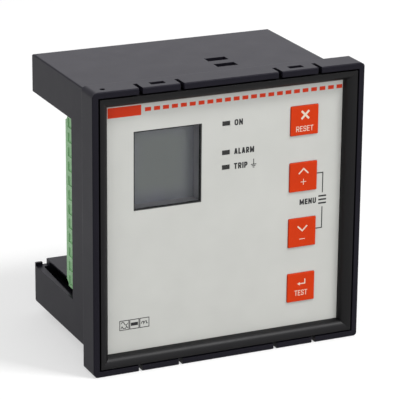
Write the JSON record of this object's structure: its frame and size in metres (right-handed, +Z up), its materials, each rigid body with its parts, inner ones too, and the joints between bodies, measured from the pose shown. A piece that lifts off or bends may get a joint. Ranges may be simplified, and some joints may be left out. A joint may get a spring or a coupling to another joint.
{
  "type": "protection relay",
  "caption": "Flush-mounting protection relay with a square bezel, recessed front with display window, lamps and push keys, and screw terminals in wiring bays at both sides.",
  "frame": {"origin": "centre of the panel cut-out, on the plane where the bezel's flange seats on the panel", "axes": "+X to the right seen from the front, +Y into the panel, +Z up"},
  "size_m": [0.096, 0.0649, 0.096],
  "materials": {
    "housing_plastic": "fine-grained black moulding",
    "cover_plastic": "satin black moulding",
    "label_film": "matt light grey film",
    "clear_pane": "clear, polished",
    "holder_plastic": "satin grey moulding",
    "display_glass": "grey polariser film",
    "white_plastic": "milky white",
    "contact_rubber": "matt",
    "circuit_board": "green solder mask",
    "plated_steel": "zinc plated",
    "key_plastic": "satin orange-red",
    "black_plastic": "satin black",
    "smoked_plastic": "smoked, polished",
    "terminal_plastic": "satin light green",
    "clamp_brass": "bright",
    "core_steel": "varnished laminations",
    "coil_winding": "taped winding",
    "relay_plastic": "blue moulding"
  },
  "bodies": {
    "case": {"housing": "housing_plastic", "front_cover": "cover_plastic", "front_label": "label_film", "display_window": "clear_pane", "display_holder": "holder_plastic", "lcd_glass": "display_glass", "lcd_backlight": "white_plastic", "lcd_contacts": "contact_rubber", "display_board": "circuit_board", "display_screws": "plated_steel", "switches": "black_plastic", "light_pipes": "smoked_plastic", "lamps": "white_plastic", "control_chip": "black_plastic", "board_connector": "black_plastic", "main_board": "circuit_board", "board_screws": "plated_steel", "left_terminal_block": "terminal_plastic", "right_terminal_block": "terminal_plastic", "left_wire_clamps": "clamp_brass", "right_wire_clamps": "clamp_brass", "left_terminal_screws": "plated_steel", "right_terminal_screws": "plated_steel", "transformer_core": "core_steel", "transformer_coil": "coil_winding", "trip_relay": "relay_plastic", "alarm_relay": "relay_plastic", "supply_capacitor": "black_plastic", "filter_capacitor": "black_plastic"},
    "reset_key": {"key_reset": "key_plastic", "plunger_reset": "black_plastic"},
    "up_key": {"key_up": "key_plastic", "plunger_up": "black_plastic"},
    "down_key": {"key_down": "key_plastic", "plunger_down": "black_plastic"},
    "test_key": {"key_test": "key_plastic", "plunger_test": "black_plastic"}
  },
  "joints": [
    {"name": "reset_press", "type": "slide", "parent": "case", "child": "reset_key", "axis": [0, 1, 0], "range_m": [0, 0.0005], "stiffness_N_per_m": 3000},
    {"name": "up_press", "type": "slide", "parent": "case", "child": "up_key", "axis": [0, 1, 0], "range_m": [0, 0.0005], "stiffness_N_per_m": 3000},
    {"name": "down_press", "type": "slide", "parent": "case", "child": "down_key", "axis": [0, 1, 0], "range_m": [0, 0.0005], "stiffness_N_per_m": 3000},
    {"name": "test_press", "type": "slide", "parent": "case", "child": "test_key", "axis": [0, 1, 0], "range_m": [0, 0.0005], "stiffness_N_per_m": 3000}
  ]
}
